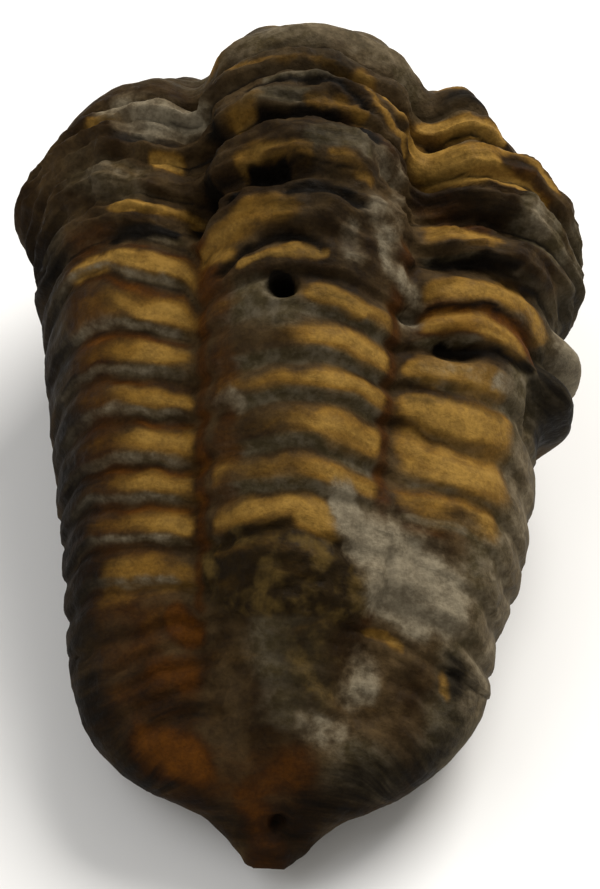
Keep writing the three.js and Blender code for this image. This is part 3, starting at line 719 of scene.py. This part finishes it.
# Painted shade in the grooves between rings and segments: stronger towards the front, weaker on the right
# ribs, none on the rear of the lobe
groove_strength = 0.2 + 0.5 * blend(24, 40, back.station) - 0.2 * right_ribs
off_lobe = 1 - window(back.lateral, -0.27, 0.3, 0.02) * (1 - blend(34, 38, back.station))
dark = in_rings * groove * bare * groove_strength * off_lobe
# Painted shade in holes, pits, cracks, under ribs and over the flanks and the tail, with dark stone on the
# lower stub and the knob
dark = np.maximum(dark, marks_on(strayed, SHADE_AND_DARK_STONE_MARKS))
olive = marks_on(strayed, OLIVE_MARKS)

layer = np.stack([back.lateral * back.half_width, nominal, 0 * nominal], axis=-1) * MM

grid = np.concatenate([back_points, underside_points(back_points)], axis=1)
low, high = grid.reshape(-1, 3).min(axis=0), grid.reshape(-1, 3).max(axis=0)
centre = np.array([(low[0] + high[0]) / 2, (low[1] + high[1]) / 2, 0])
ends = Back(np.array([[0.0], [float(BACK_LENGTH)]]), np.array([[0.0]])).places[:, 0]
mesh = make_mesh("fossil", grid - centre, ends[0] - (0, TIP_POINT, 0) - centre, ends[1] - centre)
markings = {"ochre": ochre, "rust": rust, "pale": pale, "grey": grey, "dark": dark, "olive": olive}
for name, values in markings.items():
    add_attribute(mesh, name, values, UNDERSIDE_MARKS[name])
layer_attribute = mesh.attributes.new("layer", "FLOAT_VECTOR", "POINT")
below_layer = (grid[:, BACK_COLUMNS:] * (1, 1, 0)) * MM
ring_layers = np.concatenate([layer, below_layer], axis=1).reshape(-1, 3)
all_layers = np.concatenate([[layer[0, 0]], ring_layers, [layer[-1, 0]]])
layer_attribute.data.foreach_set("vector", all_layers.astype(np.float32).ravel())
fossil = bpy.data.objects.new("fossil", mesh)
bpy.context.scene.collection.objects.link(fossil)


# Colours of the stone, as 8-bit sRGB
COLOURS = {
    "brown": (36, 24, 9),
    "brown grey": (64, 50, 30),
    "grey green": (66, 57, 36),
    "grey": (84, 76, 61),
    "tan": (130, 100, 46),
    "ochre": (105, 76, 28),
    "orange": (80, 46, 9),
    "rust": (54, 29, 5),
    "olive": (70, 55, 25),
    "umber": (30, 21, 7),
    "pale": (114, 105, 87),
    "pale warm": (86, 74, 55),
    # Colour of the painted shade, and of dark stone
    "black": (12, 8, 4),
}
# Factors of the colour: painted shade in the hollows of the fine bump relief and painted light on its
# grains, over a mottled tone
HOLLOW_SHADE = (0.72, 0.7, 0.68, 1)
GRAIN_SHADE = (1.22, 1.22, 1.22, 1)


def linear(name):
    """A colour of the stone in linear light."""
    shares = np.array(COLOURS[name]) / 255
    values = np.where(shares <= 0.04045, shares / 12.92, ((shares + 0.055) / 1.055) ** 2.4)
    return (*map(float, values), 1)


class Nodes:
    """Adds nodes to a material, each with its inputs."""

    def __init__(self, material):
        material.use_nodes = True
        self.tree = material.node_tree
        self.shader = self.tree.nodes["Principled BSDF"]

    def put(self, value, socket):
        """Links a socket, or sets a value."""
        if isinstance(value, bpy.types.NodeSocket):
            self.tree.links.new(value, socket)
        else:
            socket.default_value = value

    def attribute(self, name, output="Fac"):
        """Numbers kept on the mesh."""
        node = self.tree.nodes.new("ShaderNodeAttribute")
        node.attribute_name = name
        return node.outputs[output]

    def noise(self, vector, size_mm, detail, roughness=0.55):
        """Noise from 0 to 1 with lumps of about a size."""
        node = self.tree.nodes.new("ShaderNodeTexNoise")
        self.put(vector, node.inputs["Vector"])
        node.inputs["Scale"].default_value = 1 / (size_mm * MM)
        node.inputs["Detail"].default_value = detail
        node.inputs["Roughness"].default_value = roughness
        return node.outputs["Fac"]

    def math(self, operation, a, b):
        """A sum, difference or product."""
        node = self.tree.nodes.new("ShaderNodeMath")
        node.operation = operation
        self.put(a, node.inputs[0])
        self.put(b, node.inputs[1])
        return node.outputs[0]

    def step(self, value, low, high, to_low=0.0, to_high=1.0):
        """A smooth step of a value."""
        node = self.tree.nodes.new("ShaderNodeMapRange")
        node.interpolation_type = "SMOOTHSTEP"
        for name, number in zip(("Value", "From Min", "From Max", "To Min", "To Max"),
                                (value, low, high, to_low, to_high)):
            self.put(number, node.inputs[name])
        return node.outputs["Result"]

    def edged(self, mask, noise, amount, low=0.3, high=0.6):
        """A mask with an uneven edge."""
        shift = self.math("MULTIPLY", self.math("SUBTRACT", noise, 0.5), amount)
        return self.step(self.math("ADD", mask, shift), low, high)

    def mix(self, factor, a, b, way="MIX"):
        """Two colours mixed by a factor."""
        node = self.tree.nodes.new("ShaderNodeMix")
        node.data_type = "RGBA"
        node.blend_type = way
        self.put(factor, node.inputs[0])
        self.put(a, node.inputs[6])
        self.put(b, node.inputs[7])
        return node.outputs[2]

    def stretch(self, vector, factors):
        """A place with each of its parts multiplied by a factor."""
        node = self.tree.nodes.new("ShaderNodeVectorMath")
        node.operation = "MULTIPLY"
        self.put(vector, node.inputs[0])
        node.inputs[1].default_value = factors
        return node.outputs[0]

    def bump(self, height, strength, distance_mm, normal=None):
        """Fine relief, laid over another one where that is given."""
        node = self.tree.nodes.new("ShaderNodeBump")
        node.inputs["Strength"].default_value = strength
        node.inputs["Distance"].default_value = distance_mm * MM
        self.put(height, node.inputs["Height"])
        if normal is not None:
            self.put(normal, node.inputs["Normal"])
        return node.outputs[0]


def make_stone():
    """Banded ochre and grey stone with painted shade and painted light, from the markings on the mesh and
    noise.
    """
    material = bpy.data.materials.new("fossil_stone")
    nodes = Nodes(material)
    coordinates = nodes.tree.nodes.new("ShaderNodeTexCoord").outputs["Object"]
    layers = nodes.attribute("layer", "Vector")
    blotches = nodes.noise(coordinates, 3.2, 4)
    crumbs = nodes.noise(coordinates, 0.9, 5, 0.6)
    grain = nodes.noise(coordinates, 0.22, 4, 0.65)
    streaks = nodes.noise(nodes.stretch(layers, (0.22, 1, 1)), 0.7, 4, 0.6)
    smears = nodes.noise(nodes.stretch(layers, (0.45, 1, 1)), 1.7, 4, 0.6)
    fibres = nodes.noise(nodes.stretch(layers, (0.4, 1, 1)), 0.9, 4, 0.6)
    chunks = nodes.noise(coordinates, 1.7, 3, 0.5)

    colour = nodes.mix(nodes.step(blotches, 0.35, 0.65), linear("brown"), linear("brown grey"))
    grey = nodes.mix(nodes.step(crumbs, 0.35, 0.7), linear("grey green"), linear("grey"))
    colour = nodes.mix(nodes.edged(nodes.attribute("grey"), smears, 1.1, 0.1, 0.9), colour, grey)
    rust_mask = nodes.attribute("rust")
    rust = nodes.mix(nodes.edged(rust_mask, smears, 1, 0.45, 1.1), linear("rust"), linear("orange"))
    colour = nodes.mix(nodes.edged(rust_mask, smears, 1, 0.05, 0.8), colour, rust)
    olive = nodes.mix(nodes.step(chunks, 0.45, 0.68), linear("umber"), linear("olive"))
    colour = nodes.mix(nodes.edged(nodes.attribute("olive"), crumbs, 0.8, 0.1, 0.7), colour, olive)
    ochre_mask = nodes.attribute("ochre")
    ochre = nodes.mix(nodes.edged(ochre_mask, streaks, 1.5, 0.35, 1.2), linear("ochre"), linear("tan"))
    colour = nodes.mix(nodes.edged(ochre_mask, smears, 1.2, 0.05, 0.8), colour, ochre)
    pale_mask = nodes.attribute("pale")
    clouds = nodes.math("MULTIPLY", nodes.math("ADD", blotches, crumbs), 0.5)
    pale = nodes.mix(nodes.edged(pale_mask, clouds, 2, 0.3, 1), linear("pale warm"), linear("pale"))
    colour = nodes.mix(nodes.edged(pale_mask, crumbs, 0.9, 0.1, 0.8), colour, pale)
    # Painted shade over the colour where the dark markings are, with some dark stone
    colour = nodes.mix(nodes.edged(nodes.attribute("dark"), streaks, 0.9, 0.1, 0.9), colour, linear("black"))
    # Painted shade and painted light: darker where the bump noise is low, lighter where it is high
    bump_shade_noise = nodes.math("ADD", nodes.math("MULTIPLY", grain, 0.4), nodes.math("MULTIPLY", crumbs, 0.6))
    shade = nodes.mix(nodes.step(bump_shade_noise, 0.36, 0.64), HOLLOW_SHADE, GRAIN_SHADE)
    nodes.put(nodes.mix(1, colour, shade, "MULTIPLY"), nodes.shader.inputs["Base Color"])
    nodes.put(nodes.step(crumbs, 0.3, 0.7, 0.55, 0.85), nodes.shader.inputs["Roughness"])
    nodes.shader.inputs["Specular IOR Level"].default_value = 0.05
    flakes = nodes.bump(nodes.math("ADD", crumbs, nodes.math("MULTIPLY", fibres, 0.5)), 0.8, 0.2)
    nodes.put(nodes.bump(grain, 0.5, 0.06, flakes), nodes.shader.inputs["Normal"])
    return material


mesh.materials.append(make_stone())
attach(fossil, "root")
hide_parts("trilobite")

# Studio: the floor in metres, the place that the lights face in millimetres
FLOOR_SIZE = 1.2
FLOOR_COLOUR = (0.8, 0.8, 0.8, 1)
LIT_PLACE = (0, 0, 12)
SKY_COLOUR = (1, 0.97, 0.91, 1)
SKY_STRENGTH = 0.45

floor_mesh = bpy.data.meshes.new("floor")
half = FLOOR_SIZE / 2
floor_corners = [(-half, -half, 0), (half, -half, 0), (half, half, 0), (-half, half, 0)]
floor_mesh.from_pydata(floor_corners, [], [(0, 1, 2, 3)])
floor = bpy.data.objects.new("floor", floor_mesh)
bpy.context.scene.collection.objects.link(floor)
floor_paint = bpy.data.materials.new("pale_floor")
floor_paint.use_nodes = True
floor_paint.node_tree.nodes["Principled BSDF"].inputs["Base Color"].default_value = FLOOR_COLOUR
floor_paint.node_tree.nodes["Principled BSDF"].inputs["Roughness"].default_value = 0.9
floor_mesh.materials.append(floor_paint)


def add_light(name, place_mm, size_mm, watts, colour):
    """A soft square light that faces the fossil."""
    light = bpy.data.lights.new(name, "AREA")
    light.size = size_mm * MM
    light.energy = watts
    light.color = colour
    lamp = bpy.data.objects.new(name, light)
    lamp.location = Vector(place_mm) * MM
    lamp.rotation_euler = (Vector(LIT_PLACE) - Vector(place_mm)).to_track_quat("-Z", "Y").to_euler()
    bpy.context.scene.collection.objects.link(lamp)


add_light("key_light", (150, 220, 300), 240, 2, (1, 0.97, 0.92))
add_light("fill_light", (-200, -60, 300), 260, 0.4, (0.97, 0.98, 1))
world = bpy.data.worlds.new("studio")
world.use_nodes = True
world.node_tree.nodes["Background"].inputs["Color"].default_value = SKY_COLOUR
world.node_tree.nodes["Background"].inputs["Strength"].default_value = SKY_STRENGTH
bpy.context.scene.world = world
bpy.context.scene.view_settings.view_transform = "Standard"

# Camera: behind the tail, looking down on the back. Places are in the form's own coordinates,
# the sensor is in millimetres and the start of the view in metres.
CAMERA_PLACE = (0, -81.3, 102.2)
CAMERA_AIM = (0.47, -3.12, 11.09)
CAMERA_ROLL_DEG = 3.4
IMAGE_HEIGHT = 889
FOCAL_PIXELS = 2035.8
SENSOR = 36
CLIP_START = 0.005

camera_data = bpy.data.cameras.new("camera")
camera_data.sensor_fit = "VERTICAL"
camera_data.sensor_height = SENSOR
camera_data.lens = FOCAL_PIXELS / IMAGE_HEIGHT * SENSOR
camera_data.clip_start = CLIP_START
camera = bpy.data.objects.new("camera", camera_data)
place = Vector(CAMERA_PLACE) - Vector(centre)
aim = (Vector(CAMERA_AIM) - Vector(CAMERA_PLACE)).to_track_quat("-Z", "Y").to_matrix()
roll = Matrix.Rotation(math.radians(CAMERA_ROLL_DEG), 3, "Z")
camera.matrix_world = Matrix.Translation(place * MM) @ (aim @ roll).to_4x4()
bpy.context.scene.collection.objects.link(camera)
bpy.context.scene.camera = camera
